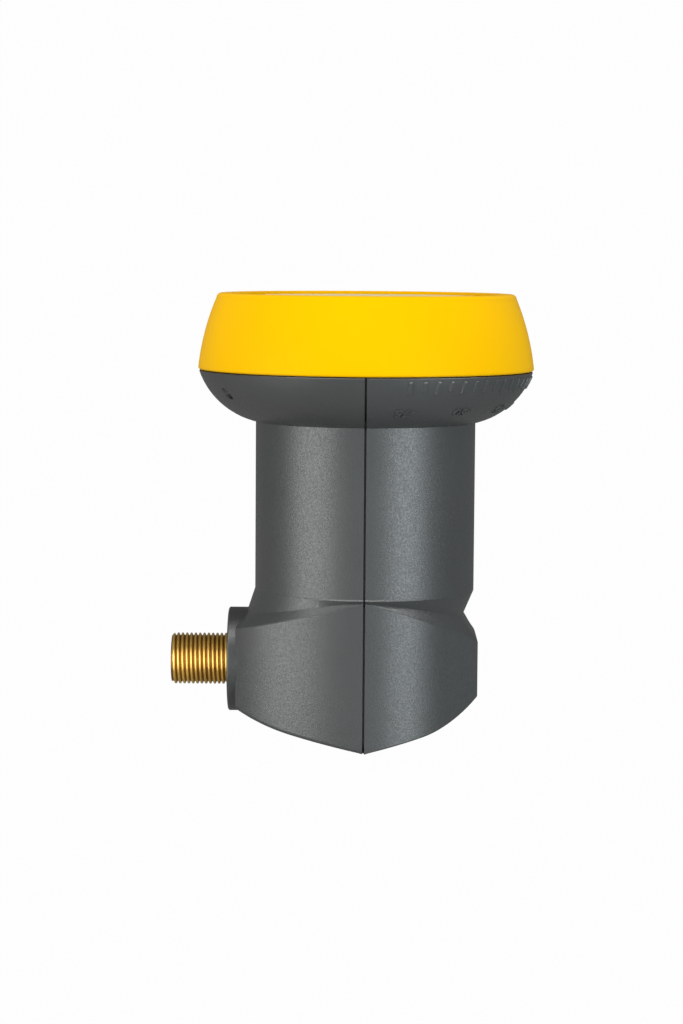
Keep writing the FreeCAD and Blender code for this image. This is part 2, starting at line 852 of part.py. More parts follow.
# F-connector, turned about its own axis: heights in the outlines run away from the feed axis
def make_connector():
    tray_face = tray_left
    tray_inner = tray_face - size("tray_wall")
    hex_end = tray_face + size("hex_length")
    tip = boss_reach + size("thread_length")
    thread = size("thread_radius")
    relief = thread - size("relief_depth")
    chamfer = size("thread_chamfer")
    socket = size("socket_radius")
    bore = size("shank_bore")
    socket_floor = tray_face + size("hex_length") / 2
    body = turned("f_connector_body", [
        (bore, tray_inner),
        (size("shank_radius"), tray_inner),
        (size("shank_radius"), tray_face),
        (size("hex_radius"), tray_face),
        (size("hex_radius"), hex_end),
        (relief, hex_end),
        (relief, boss_reach + size("relief_gap")),
        (thread, boss_reach + size("relief_gap")),
        (thread, tip - chamfer),
        (thread - chamfer, tip),
        (socket, tip),
        (socket, socket_floor),
        (bore, socket_floor),
    ])
    gasket = turned("connector_gasket", [
        (relief + size("shank_fit"), hex_end),
        (size("hex_radius"), hex_end),
        (size("hex_radius"), chamber_left),
        (relief + size("shank_fit"), chamber_left),
    ])
    fit = size("insulator_fit")
    contact = size("contact_radius")
    pin = size("contact_pin")
    cavity = contact + size("contact_fit")
    front = tip - size("insulator_recess")
    cavity_end = front - size("insulator_front")
    contact_back = cavity_end - size("contact_length")
    insulator = turned("connector_insulator", [
        (pin + size("contact_fit"), tray_inner),
        (bore - fit, tray_inner),
        (bore - fit, socket_floor),
        (socket - fit, socket_floor),
        (socket - fit, front),
        (size("entry_radius"), front),
        (size("entry_radius"), cavity_end),
        (cavity, cavity_end),
        (cavity, contact_back),
        (pin + size("contact_fit"), contact_back),
    ])
    tail = size("contact_tail")
    pin_end = tray_inner - tail
    spring = turned("contact_spring", [
        (0, pin_end),
        (pin, pin_end),
        (pin, contact_back),
        (contact, contact_back),
        (contact, cavity_end),
        (size("contact_bore"), cavity_end),
        (size("contact_bore"), contact_back + pin),
        (0, contact_back + pin),
    ])
    for item in (body, gasket, insulator, spring):
        place(item, z=connector_height, rotation=TOWARDS_LEFT)
    lead = box("contact_lead", (-pin_end - pin, -pin_end + pin), (-pin, pin),
               (connector_height, board_bottom))
    return [body, gasket, insulator, fuse("connector_contact", [spring, lead])]


def check_document():
    for item in doc.Objects:
        if "Invalid" in item.State or "Error" in item.State:
            raise RuntimeError(f"{item.Name} failed: {item.State}")


def write_nodes(items):
    check_document()
    os.makedirs("parts", exist_ok=True)
    for item in items:
        if item.Shape.isNull() or not item.Shape.isValid():
            raise RuntimeError(f"{item.Name} has no valid shape")
        item.Label = item.Name
        item.Shape.exportStep(f"parts/{item.Label}.step")
        bounds = item.Shape.BoundBox
        print(f"{item.Label}: {len(item.Shape.Solids)} solid(s), {item.Shape.Volume:.1f} mm3, "
              f"X {bounds.XMin:.2f}..{bounds.XMax:.2f}, Y {bounds.YMin:.2f}..{bounds.YMax:.2f}, "
              f"Z {bounds.ZMin:.2f}..{bounds.ZMax:.2f}")


nodes = [make_feed_cap(), make_front_label(), make_cap_seal()]
nodes += make_shells()
nodes += [make_feed_casting(), make_circuit_board(), make_cover_gasket(), make_tray_cover()]
nodes += [make_cover_screws()]
nodes += make_probes()
nodes += make_board_parts()
nodes += make_connector()
doc.recompute()
write_nodes(nodes)
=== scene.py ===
import math

import bpy
from mathutils import Matrix, Vector


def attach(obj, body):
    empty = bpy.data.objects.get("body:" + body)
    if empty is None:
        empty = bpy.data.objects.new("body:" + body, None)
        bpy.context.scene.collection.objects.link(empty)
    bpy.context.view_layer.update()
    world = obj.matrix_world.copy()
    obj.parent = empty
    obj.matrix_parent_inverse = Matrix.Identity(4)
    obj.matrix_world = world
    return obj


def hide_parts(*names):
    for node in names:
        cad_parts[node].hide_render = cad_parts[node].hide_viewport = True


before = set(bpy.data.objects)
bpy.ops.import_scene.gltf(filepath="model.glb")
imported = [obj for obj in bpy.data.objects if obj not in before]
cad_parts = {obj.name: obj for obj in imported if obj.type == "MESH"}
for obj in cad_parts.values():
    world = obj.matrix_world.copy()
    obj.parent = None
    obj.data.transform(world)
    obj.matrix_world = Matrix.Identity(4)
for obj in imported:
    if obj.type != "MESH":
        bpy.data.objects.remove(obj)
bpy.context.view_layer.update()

mm = 0.001

# Satellite LNB. Its frame: origin in the middle of the clamp neck, +Z to the cap,
# the connector towards -X, the parting line of the housing in the plane X = 0.
# The tables of the pieces give lengths in millimetres and turns in degrees.
# Vertices that are closer than mergeReach, in metres, are joined; tiny keeps a division safe.
mergeReach = 0.000002
tiny = 0.001
white = (1, 1, 1, 1)


# Editing helpers
def deselectAll():
    if bpy.context.object and bpy.context.object.mode != "OBJECT":
        bpy.ops.object.mode_set(mode="OBJECT")
    bpy.ops.object.select_all(action="DESELECT")


def makeActive(piece):
    deselectAll()
    piece.select_set(True)
    bpy.context.view_layer.objects.active = piece


def applyModifier(piece, kind, **settings):
    makeActive(piece)
    modifier = piece.modifiers.new(kind.title(), kind)
    for field, value in settings.items():
        setattr(modifier, field, value)
    bpy.ops.object.modifier_apply(modifier=modifier.name)


def smooth(piece, degrees):
    makeActive(piece)
    bpy.ops.object.shade_smooth_by_angle(angle=math.radians(degrees))


def softenEdges(piece, width, degrees, segments):
    applyModifier(piece, "BEVEL", width=width, segments=segments, limit_method="ANGLE",
                  angle_limit=math.radians(degrees), use_clamp_overlap=True)


def closeUp(piece):
    makeActive(piece)
    bpy.ops.object.mode_set(mode="EDIT")
    bpy.ops.mesh.select_all(action="SELECT")
    bpy.ops.mesh.remove_doubles(threshold=mergeReach)
    bpy.ops.mesh.normals_make_consistent(inside=False)
    bpy.ops.object.mode_set(mode="OBJECT")


def joinPieces(first, others):
    makeActive(first)
    for other in others:
        other.select_set(True)
    bpy.ops.object.join()
    return first


def selectEdges(piece, isChosen):
    # leaves the piece in edit mode with the chosen edges selected
    makeActive(piece)
    bpy.ops.object.mode_set(mode="EDIT")
    bpy.ops.mesh.select_all(action="DESELECT")
    bpy.ops.object.mode_set(mode="OBJECT")
    for edge in piece.data.edges:
        edge.select = isChosen(edge)
    bpy.ops.object.mode_set(mode="EDIT")
    bpy.ops.mesh.select_mode(type="EDGE")


def subtract(piece, tools):
    tool = joinPieces(tools[0], tools[1:])
    applyModifier(piece, "BOOLEAN", operation="DIFFERENCE", solver="EXACT", object=tool)
    bpy.data.objects.remove(tool, do_unlink=True)


def fromFaces(name, corners, faces):
    mesh = bpy.data.meshes.new(name)
    mesh.from_pydata(corners, [], faces)
    mesh.update()
    piece = bpy.data.objects.new(name, mesh)
    bpy.context.collection.objects.link(piece)
    return piece


# A turned piece: a closed ring of (radius, height) points in mm, spun round Z
def turnedPiece(name, outline, steps):
    deselectAll()
    bpy.ops.mesh.primitive_circle_add(vertices=len(outline), radius=mm, fill_type="NOTHING")
    piece = bpy.context.object
    piece.name = piece.data.name = name
    for vertex, (radius, height) in zip(piece.data.vertices, outline):
        vertex.co = (radius * mm, 0, height * mm)
    bpy.ops.object.mode_set(mode="EDIT")
    bpy.ops.mesh.select_all(action="SELECT")
    bpy.ops.mesh.spin(steps=steps, angle=2 * math.pi, center=(0, 0, 0), axis=(0, 0, 1))
    bpy.ops.object.mode_set(mode="OBJECT")
    closeUp(piece)
    return piece


def cylinderTool(radius, low, high, place, turn):
    deselectAll()
    bpy.ops.mesh.primitive_cylinder_add(vertices=64, radius=radius * mm, depth=(high - low) * mm)
    tool = bpy.context.object
    tool.data.transform(Matrix.Translation((0, 0, (low + high) / 2 * mm)))
    tool.data.transform(Matrix.Translation(place) @ turn)
    return tool


def arcPoints(start, end, radius, count):
    # from start to end, anticlockwise for a positive radius, without the start point
    startPoint = Vector(start)
    endPoint = Vector(end)
    chord = endPoint - startPoint
    side = math.sqrt(radius * radius - chord.length_squared / 4)
    normal = Vector((-chord.y, chord.x)).normalized()
    centre = (startPoint + endPoint) / 2 + normal * (side if radius > 0 else -side)
    first = math.atan2(startPoint.y - centre.y, startPoint.x - centre.x)
    last = math.atan2(endPoint.y - centre.y, endPoint.x - centre.x)
    sweep = (last - first) % (2 * math.pi) if radius > 0 else -((first - last) % (2 * math.pi))
    points = []
    for index in range(1, count + 1):
        angle = first + sweep * index / count
        points.append((centre.x + abs(radius) * math.cos(angle),
                       centre.y + abs(radius) * math.sin(angle)))
    return points


# Materials: every finish reads Object coordinates and has its own colour drift, gloss and grain
def startFinish(name):
    material = bpy.data.materials.new(name)
    material.use_nodes = True
    nodes = material.node_tree.nodes
    shader = nodes["Principled BSDF"]
    coordinates = nodes.new("ShaderNodeTexCoord")
    return material, nodes, material.node_tree.links, shader, coordinates.outputs["Object"]


def addNoise(nodes, links, coordinates, scale, detail=3.0, roughness=0.55):
    noise = nodes.new("ShaderNodeTexNoise")
    noise.inputs["Scale"].default_value = scale
    noise.inputs["Detail"].default_value = detail
    noise.inputs["Roughness"].default_value = roughness
    links.new(coordinates, noise.inputs["Vector"])
    return noise.outputs["Fac"]


def addRamp(nodes, links, factor, low, high, lowColour, highColour):
    ramp = nodes.new("ShaderNodeValToRGB")
    ramp.color_ramp.elements[0].position = low
    ramp.color_ramp.elements[1].position = high
    ramp.color_ramp.elements[0].color = (*lowColour, 1)
    ramp.color_ramp.elements[1].color = (*highColour, 1)
    links.new(factor, ramp.inputs["Fac"])
    return ramp.outputs["Color"]


def addRange(nodes, links, factor, low, high, toLow, toHigh):
    spread = nodes.new("ShaderNodeMapRange")
    for field, value in (("From Min", low), ("From Max", high), ("To Min", toLow), ("To Max", toHigh)):
        spread.inputs[field].default_value = value
    links.new(factor, spread.inputs["Value"])
    return spread.outputs["Result"]


def addBump(nodes, links, shader, height, distance):
    bump = nodes.new("ShaderNodeBump")
    bump.inputs["Distance"].default_value = distance
    bump.inputs["Strength"].default_value = 1.0
    links.new(height, bump.inputs["Height"])
    links.new(bump.outputs["Normal"], shader.inputs["Normal"])


def addMath(nodes, links, operation, first, second):
    # each of the two values is an output or a number
    step = nodes.new("ShaderNodeMath")
    step.operation = operation
    for index, value in enumerate((first, second)):
        if isinstance(value, (int, float)):
            step.inputs[index].default_value = value
        else:
            links.new(value, step.inputs[index])
    return step.outputs["Value"]


def addBlend(nodes, links, factor, first, second):
    blend = nodes.new("ShaderNodeMixShader")
    for index, output in enumerate((factor, first, second)):
        links.new(output, blend.inputs[index])
    return blend.outputs["Shader"]


# The part of a noise's range that is spread between two values
noiseSpan = (0.3, 0.7)


def grainedFinish(name, look):
    material, nodes, links, shader, place = startFinish(name)
    drift = addNoise(nodes, links, place, look["driftScale"])
    colour = addRamp(nodes, links, drift, *noiseSpan, look["darkColour"], look["lightColour"])
    links.new(colour, shader.inputs["Base Color"])
    patches = addNoise(nodes, links, place, look["patchScale"], detail=5.0)
    gloss = addRange(nodes, links, patches, *noiseSpan, look["roughLow"], look["roughHigh"])
    links.new(gloss, shader.inputs["Roughness"])
    grain = addNoise(nodes, links, place, look["grainScale"], roughness=0.6)
    addBump(nodes, links, shader, grain, look["grainDepth"] * mm)
    for field, value in look.get("fixed", {}).items():
        shader.inputs[field].default_value = value
    return material


# The scales of the drift, the gloss patches and the grain are in cells to the metre
finishes = {
    "housingPlastic": {
        "driftScale": 45, "patchScale": 2700, "grainScale": 2800, "grainDepth": 0.03,
        "darkColour": (0.046, 0.049, 0.049), "lightColour": (0.056, 0.059, 0.0585),
        "roughLow": 0.32, "roughHigh": 0.53, "fixed": {"Specular IOR Level": 0.72},
    },
    "capPlastic": {
        "driftScale": 30, "patchScale": 120, "grainScale": 2600, "grainDepth": 0.004,
        "darkColour": (0.88, 0.475, 0.0), "lightColour": (0.92, 0.50, 0.001),
        "roughLow": 0.42, "roughHigh": 0.52,
        "fixed": {"Specular IOR Level": 0.25, "Specular Tint": (1.0, 0.72, 0.03, 1.0)},
    },
    "discFilm": {
        "driftScale": 60, "patchScale": 200, "grainScale": 3000, "grainDepth": 0.006,
        "darkColour": (0.70, 0.61, 0.36), "lightColour": (0.76, 0.66, 0.40),
        "roughLow": 0.5, "roughHigh": 0.62,
    },
    "sealRubber": {
        "driftScale": 80, "patchScale": 300, "grainScale": 2500, "grainDepth": 0.01,
        "darkColour": (0.010, 0.010, 0.010), "lightColour": (0.020, 0.020, 0.020),
        "roughLow": 0.55, "roughHigh": 0.7,
    },
    "castMetal": {
        "driftScale": 60, "patchScale": 250, "grainScale": 1800, "grainDepth": 0.02,
        "darkColour": (0.42, 0.43, 0.44), "lightColour": (0.56, 0.57, 0.58),
        "roughLow": 0.38, "roughHigh": 0.55, "fixed": {"Metallic": 1.0},
    },
    "lidMetal": {
        "driftScale": 70, "patchScale": 260, "grainScale": 2200, "grainDepth": 0.012,
        "darkColour": (0.38, 0.39, 0.40), "lightColour": (0.50, 0.51, 0.52),
        "roughLow": 0.32, "roughHigh": 0.5, "fixed": {"Metallic": 1.0},
    },
    "boardLaminate": {
        "driftScale": 200, "patchScale": 400, "grainScale": 2600, "grainDepth": 0.006,
        "darkColour": (0.010, 0.080, 0.030), "lightColour": (0.020, 0.120, 0.050),
        "roughLow": 0.25, "roughHigh": 0.4,
    },
    "screwSteel": {
        "driftScale": 300, "patchScale": 600, "grainScale": 3000, "grainDepth": 0.004,
        "darkColour": (0.42, 0.42, 0.41), "lightColour": (0.55, 0.55, 0.53),
        "roughLow": 0.28, "roughHigh": 0.42, "fixed": {"Metallic": 1.0},
    },
    "chipEpoxy": {
        "driftScale": 400, "patchScale": 900, "grainScale": 5000, "grainDepth": 0.004,
        "darkColour": (0.012, 0.012, 0.013), "lightColour": (0.022, 0.022, 0.024),
        "roughLow": 0.45, "roughHigh": 0.6,
    },
    "crystalCan": {
        "driftScale": 400, "patchScale": 900, "grainScale": 5000, "grainDepth": 0.002,
        "darkColour": (0.60, 0.60, 0.58), "lightColour": (0.72, 0.72, 0.70),
        "roughLow": 0.18, "roughHigh": 0.3, "fixed": {"Metallic": 1.0},
    },
    "coilFerrite": {
        "driftScale": 400, "patchScale": 900, "grainScale": 4000, "grainDepth": 0.006,
        "darkColour": (0.016, 0.014, 0.014), "lightColour": (0.035, 0.030, 0.028),
        "roughLow": 0.5, "roughHigh": 0.65,
    },
    "capacitorCeramic": {
        "driftScale": 500, "patchScale": 900, "grainScale": 4000, "grainDepth": 0.004,
        "darkColour": (0.22, 0.14, 0.07), "lightColour": (0.32, 0.21, 0.11),
        "roughLow": 0.4, "roughHigh": 0.55,
    },
    "goldPlating": {
        "driftScale": 300, "patchScale": 700, "grainScale": 4000, "grainDepth": 0.003,
        "darkColour": (0.70, 0.43, 0.12), "lightColour": (0.84, 0.56, 0.18),
        "roughLow": 0.2, "roughHigh": 0.34, "fixed": {"Metallic": 1.0},
    },
    "insulatorPolymer": {
        "driftScale": 200, "patchScale": 500, "grainScale": 3000, "grainDepth": 0.004,
        "darkColour": (0.66, 0.65, 0.61), "lightColour": (0.76, 0.75, 0.72),
        "roughLow": 0.4, "roughHigh": 0.52,
    },
}


# Turned brass: the thread's roots are painted darker than its crests, as painted shade in the thread's
# grooves
brassLook = {
    "axisHeight": -28.55, "rootRadius": 4.2, "crestRadius": 4.68,
    "rootShadeColour": (0.24, 0.10, 0.015), "crestColour": (0.96, 0.67, 0.18), "metallic": 0.93,
    "rootShadeSpan": (0.0, 0.6), "shadeSpan": (0.25, 0.75), "shadeColour": (0.78, 0.74, 0.70),
    "driftScale": 260, "grainScale": 1600, "grainDepth": 0.0008,
    "roughLow": 0.30, "roughHigh": 0.40,
}


def brassFinish(name, look):
    material, nodes, links, shader, place = startFinish(name)
    split = nodes.new("ShaderNodeSeparateXYZ")
    links.new(place, split.inputs["Vector"])
    lift = addMath(nodes, links, "SUBTRACT", split.outputs["Z"], look["axisHeight"] * mm)
    across = nodes.new("ShaderNodeCombineXYZ")
    links.new(split.outputs["Y"], across.inputs["Y"])
    links.new(lift, across.inputs["Z"])
    distance = nodes.new("ShaderNodeVectorMath")
    distance.operation = "LENGTH"
    links.new(across.outputs["Vector"], distance.inputs[0])
    # painted shade: the colour runs from the dark root colour in the thread's grooves to the crest
    # colour, by distance from the axis
    height = addRange(nodes, links, distance.outputs["Value"],
                      look["rootRadius"] * mm, look["crestRadius"] * mm, 0, 1)
    colour = addRamp(nodes, links, height, *look["rootShadeSpan"],
                     look["rootShadeColour"], look["crestColour"])
    drift = addNoise(nodes, links, place, look["driftScale"], detail=4.0)
    shade = addRamp(nodes, links, drift, *look["shadeSpan"], look["shadeColour"], white[:3])
    mix = nodes.new("ShaderNodeMix")
    mix.data_type = "RGBA"
    mix.blend_type = "MULTIPLY"
    mix.inputs["Factor"].default_value = 1.0
    links.new(colour, mix.inputs["A"])
    links.new(shade, mix.inputs["B"])
    links.new(mix.outputs["Result"], shader.inputs["Base Color"])
    gloss = addRange(nodes, links, drift, *noiseSpan, look["roughLow"], look["roughHigh"])
    links.new(gloss, shader.inputs["Roughness"])
    grain = addNoise(nodes, links, place, look["grainScale"])
    addBump(nodes, links, shader, grain, look["grainDepth"] * mm)
    shader.inputs["Metallic"].default_value = look["metallic"]
    return material


materials = {name: grainedFinish(name, look) for name, look in finishes.items()}
materials["turnedBrass"] = brassFinish("turnedBrass", brassLook)


def dress(piece, finish):
    piece.data.materials.clear()
    piece.data.materials.append(materials[finish])
    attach(piece, "root")


nodeFinishes = {
    "feed_cap": "capPlastic", "front_label": "discFilm", "cap_seal": "sealRubber",
    "connector_side_shell": "housingPlastic", "plain_side_shell": "housingPlastic",
    "feed_casting": "castMetal", "circuit_board": "boardLaminate", "cover_gasket": "sealRubber",
    "tray_cover": "lidMetal", "cover_screws": "screwSteel", "horizontal_probe": "goldPlating",
    "vertical_probe": "goldPlating", "horizontal_amplifier": "chipEpoxy",
    "vertical_amplifier": "chipEpoxy", "mixer_chip": "chipEpoxy",
    "reference_crystal": "crystalCan", "voltage_regulator": "chipEpoxy",
    "filter_coil": "coilFerrite", "capacitors": "capacitorCeramic",
    "f_connector_body": "turnedBrass", "connector_gasket": "sealRubber",
    "connector_insulator": "insulatorPolymer", "connector_contact": "goldPlating",
}
for nodeName, finish in nodeFinishes.items():
    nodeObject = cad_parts[nodeName]
    for slotIndex in range(len(nodeObject.material_slots)):
        nodeObject.material_slots[slotIndex].material = materials[finish]
print("materials done:", len(materials))


# Feed cap: one moulding with a bulged side, a rounded lip and a shallow recess
capForm = {
    "base": 24.75, "height": 13.75, "radius": 30.5, "topRadius": 27.2, "sideArc": 45.0,
    "edgeRound": 0.8, "lipRound": 0.35, "recessRadius": 24.5, "recessDepth": 0.85,
    "bore": 28.8, "shoulder": 27.2, "seatHeight": 5.0, "wall": 1.9, "recessRound": 0.15,
    "baseInset": 0.02, "edgeFullness": 1.1, "lipSteps": 5, "sideSteps": 20, "edgeSteps": 7,
    "recessSteps": 3, "turnSteps": 192, "sharpAngle": 28,
}


def makeFeedCap():
    form = capForm
    base = form["base"]
    top = base + form["height"]
    lip = form["lipRound"]
    edge = form["edgeRound"]
    floor = top - form["recessDepth"]
    small = form["recessRound"]
    ceiling = floor - form["wall"]
    outline = [(0, ceiling), (form["topRadius"] - form["wall"], ceiling)]
    outline.append((form["shoulder"], base + form["seatHeight"]))
    outline.append((form["bore"], base + form["seatHeight"]))
    outline.append((form["bore"], base + small))
    outline.append((form["bore"] + small, base))
    outline.append((form["radius"] - lip, base))
    sideStart = (form["radius"] - form["baseInset"], base + lip)
    sideEnd = (form["topRadius"], top - edge)
    topStart = (form["topRadius"] - edge, top)
    outline += arcPoints(outline[-1], sideStart, lip, form["lipSteps"])
    outline += arcPoints(outline[-1], sideEnd, form["sideArc"], form["sideSteps"])
    outline += arcPoints(outline[-1], topStart, edge * form["edgeFullness"], form["edgeSteps"])
    outline.append((form["recessRadius"] + small, top))
    recessStart = (form["recessRadius"], top - small)
    outline += arcPoints(outline[-1], recessStart, small, form["recessSteps"])
    outline.append((form["recessRadius"], floor))
    outline.append((0, floor))
    cap = turnedPiece("feedCapMoulding", outline, form["turnSteps"])
    smooth(cap, form["sharpAngle"])
    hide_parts("feed_cap")
    dress(cap, "capPlastic")
    return cap


# Housing skin. Each half is a sheet of columns, from the parting line in front round to the
# parting line behind; each column runs down the spigot, collar, neck, groove and side.
skinForm = {
    "neckRadius": 20.0, "neckTop": 15.3, "neckBottom": -15.3,
    "collarRadius": 30.3, "collarTop": 24.6, "collarArc": 14.1,
    "spigotRadius": 28.7, "spigotTop": 28.6,
    "left": 23.2, "right": 20.6, "leftArc": 30.0,
    "roofStep": 0.5, "leftDrop": 5.9, "rightDrop": 8.1, "rightBulge": 0.95,
    "seamDepth": 0.3, "sideDepth": 1.8, "grooveSlope": 0.22,
    "leftLean": 1.7, "leftGrooveSlope": 0.185, "grooveCurve": 1.4,
    "lipHeight": 0.30, "lipReach": 0.19, "ridgeRound": 0.30,
    "keel": -42.61, "leftSlope": 0.215, "leftRun": 13.0, "leftRise": 6.15, "leftKeelArc": 48.0,
    "rightSlope": 0.25, "rightRun": 11.0, "rightRise": 8.6, "rightKeelArc": 20.9,
    "halfGap": 0.19, "wall": 1.2, "columnStep": 3.0, "flatColumns": 8,
    "edgeRound": 0.16, "edgeAngle": 32, "edgeSteps": 2, "sharpAngle": 24,
    "leftKeelRound": 0.75, "rightKeelRound": 0.3, "cornerSteps": 4, "cornerMost": 0.45,
    "rim": ((0.3, 0), (0.08, 0.06), (0, 0.2)), "collarSteps": 14,
    "neckShares": (0.04, 0.25, 0.5, 0.75, 1.0), "sideShares": (0.25, 0.5, 0.75),
    "lipFade": 1.6, "lipDrop": 0.7, "lipTaper": 0.9,
}


def planPoint(angle, side):
    form = skinForm
    along = math.sin(angle)
    across = abs(math.cos(angle))
    neck = form["neckRadius"]
    if side > 0:
        reach = neck
        if along > across:
            reach = min(neck * math.sqrt(2) / (along + across), form["right"] / along)
    else:
        offset = form["leftArc"] - neck
        shift = offset * across
        reach = math.sqrt(shift ** 2 + form["leftArc"] ** 2 - offset ** 2) - shift
        reach = min(reach, form["left"] / max(along, tiny))
    return side * reach * along, -reach * math.cos(angle)


def roofHeight(x):
    form = skinForm
    step = form["neckBottom"] - form["roofStep"]
    if x <= 0:
        return step + form["leftDrop"] * x / form["left"]
    share = x / form["right"]
    return step - form["rightDrop"] * share + 4 * form["rightBulge"] * share * (1 - share)


def arcHeight(x, start, end, radius):
    # height of the lower side of a circle through both points
    middle = Vector(((start[0] + end[0]) / 2, (start[1] + end[1]) / 2))
    chord = Vector((end[0] - start[0], end[1] - start[1]))
    side = math.sqrt(radius ** 2 - chord.length_squared / 4)
    normal = Vector((-chord.y, chord.x)).normalized()
    if normal.y < 0:
        normal = -normal
    centre = middle + normal * side
    return centre.y - math.sqrt(max(radius ** 2 - (x - centre.x) ** 2, 0))


def keelHeight(x):
    form = skinForm
    name = "left" if x < 0 else "right"
    run = form[name + "Run"]
    slope = form[name + "Slope"]
    reach = abs(x)
    if reach <= run:
        return form["keel"] + slope * reach
    start = (run, form["keel"] + slope * run)
    end = (form[name], form["keel"] + form[name + "Rise"])
    return arcHeight(reach, start, end, form[name + "KeelArc"])


def columnAngles(side):
    # front stops up to the flat end, then evenly across the flat, then the same behind
    form = skinForm
    if side > 0:
        corner = math.atan2(form["right"], form["neckRadius"] * math.sqrt(2) - form["right"])
        stops = [0, math.pi / 4, corner]
        flat = form["right"]
    else:
        depth = math.sqrt(form["leftArc"] ** 2 - form["left"] ** 2) - form["leftArc"]
        depth += form["neckRadius"]
        corner = math.atan2(form["left"], depth)
        stops = [0, corner]
        flat = form["left"]
    front = [0.0]
    for start, end in zip(stops, stops[1:]):
        count = max(2, round(math.degrees(end - start) / form["columnStep"]))
        front += [start + (end - start) * index / count for index in range(1, count + 1)]
    halfWidth = -planPoint(corner, side)[1]
    count = form["flatColumns"]
    across = []
    for index in range(1, count):
        y = -halfWidth + 2 * halfWidth * index / count
        across.append(math.atan2(flat, -y))
    return front, across


def collarEnds():
    # where the collar's arc starts under its rim and ends on the neck
    form = skinForm
    rimDrop = form["rim"][-1][1]
    start = (form["collarRadius"], form["collarTop"] - rimDrop)
    return start, (form["neckRadius"], form["neckTop"])


def columnPoints(angle, side):
    form = skinForm
    along = math.sin(angle)
    outward = Vector((side * along, -math.cos(angle)))

    def ring(radius, height):
        x, y = outward * radius
        return [x, y, height]

    points = [ring(form["spigotRadius"], form["spigotTop"])]
    points.append(ring(form["spigotRadius"], form["collarTop"]))
    for inset, drop in form["rim"]:
        points.append(ring(form["collarRadius"] - inset, form["collarTop"] - drop))
    start, end = collarEnds()
    for radius, height in arcPoints(start, end, -form["collarArc"], form["collarSteps"]):
        points.append(ring(radius, height))
    lip = form["neckBottom"] + form["lipHeight"]
    ledge = form["lipReach"] * max(0, 1 - along ** 2 * form["lipFade"])
    for share in form["neckShares"]:
        height = form["neckTop"] + (lip - form["neckTop"]) * share
        points.append(ring(form["neckRadius"], height))
    points.append(ring(form["neckRadius"] + ledge, lip - form["lipHeight"] * form["lipDrop"]))
    points.append(ring(form["neckRadius"] + ledge * form["lipTaper"], form["neckBottom"]))
    planX, planY = planPoint(angle, side)
    roof = roofHeight(planX)
    reach = form["neckRadius"] - form["seamDepth"]
    if side > 0:
        reach -= (form["sideDepth"] - form["seamDepth"]) * along
        slope = form["grooveSlope"]
    else:
        reach += form["leftLean"] * along * along
        slope = form["leftGrooveSlope"]
    fall = slope * reach * along ** form["grooveCurve"]
    grooveHeight = form["neckBottom"] - form["roofStep"] / 2 - fall
    groove = ring(reach, grooveHeight)
    points.append(groove)
    low = keelHeight(planX)
    turned = form["leftKeelRound"] if side < 0 else form["rightKeelRound"]
    # the ridge and the keel edge are turned towards a point that is twice the rounding away
    wallTop = [planX, planY, roof - form["ridgeRound"] * 2]
    points += cornerPoints(groove, [planX, planY, roof], wallTop, form["ridgeRound"])
    for share in form["sideShares"]:
        points.append([planX, planY, roof + (low - roof) * share])
    inner = [planX * (1 - 2 * turned / form["neckRadius"]),
             planY * (1 - 2 * turned / form["neckRadius"])]
    inner.append(keelHeight(inner[0]))
    points += cornerPoints(points[-1], [planX, planY, low], inner, turned)
    return points


def cornerPoints(before, corner, after, reach):
    # a corner turned as a short curve, from the line before it to the line after it
    form = skinForm
    middle = Vector(corner)
    start = Vector(before) - middle
    end = Vector(after) - middle
    start *= min(reach / max(start.length, tiny), form["cornerMost"])
    end *= min(reach / max(end.length, tiny), form["cornerMost"])
    points = []
    for step in range(form["cornerSteps"] + 1):
        share = step / form["cornerSteps"]
        points.append(list(middle + start * (1 - share) ** 2 + end * share ** 2))
    return points


def makeSkin(name, side):
    form = skinForm
    front, across = columnAngles(side)
    columns = [columnPoints(angle, side) for angle in front]
    cornerIndex = len(columns) - 1
    frontColumns = list(columns)
    columns += [columnPoints(angle, side) for angle in across]
    for column in reversed(frontColumns):
        columns.append([[x, -y, z] for x, y, z in column])
    last = len(columns) - 1
    rows = len(columns[0])
    for column in (columns[0], columns[last]):
        for point in column:
            point[0] = side * form["halfGap"]
    corners = [tuple(value * mm for value in point) for column in columns for point in column]
    faces = []
    for index in range(last):
        for row in range(rows - 1):
            first = index * rows + row
            faces.append((first, first + rows, first + rows + 1, first + 1))
    # bottom: lines from each front column back to its mirror column
    count = form["flatColumns"]
    lines = []
    for index in range(cornerIndex + 1):
        frontIndex = index * rows + rows - 1
        rearIndex = (last - index) * rows + rows - 1
        line = [frontIndex]
        for step in range(1, count):
            if index == cornerIndex:
                line.append((cornerIndex + step) * rows + rows - 1)
            else:
                start = Vector(corners[frontIndex])
                end = Vector(corners[rearIndex])
                corners.append(tuple(start.lerp(end, step / count)))
                line.append(len(corners) - 1)
        line.append(rearIndex)
        lines.append(line)
    for first, second in zip(lines, lines[1:]):
        for step in range(count):
            faces.append((first[step], first[step + 1], second[step + 1], second[step]))
    skin = fromFaces(name, corners, faces)
    closeUp(skin)
    return skin


# Connector axis: its turned pieces are made along +Z and then laid along -X
connectorAxis = {"height": -28.55, "bossRadius": 9.5, "bossFace": 24.8, "bossRound": 0.4,
                 "bossRoot": 21.5, "skirtRoot": 18.9, "skirtWall": 1.2, "bore": 4.85,
                 "boreRound": 0.15, "roundSteps": 5, "turnSteps": 96, "cut": (15, 40)}
towardsLeft = Matrix.Rotation(math.radians(-90), 4, "Y")
weepForm = {"radius": 1.0, "offset": 14.4, "height": 20.9, "cut": (10, 40)}


def layAlongConnector(piece):
    place = Matrix.Translation((0, 0, connectorAxis["height"] * mm))
    piece.data.transform(place @ towardsLeft)


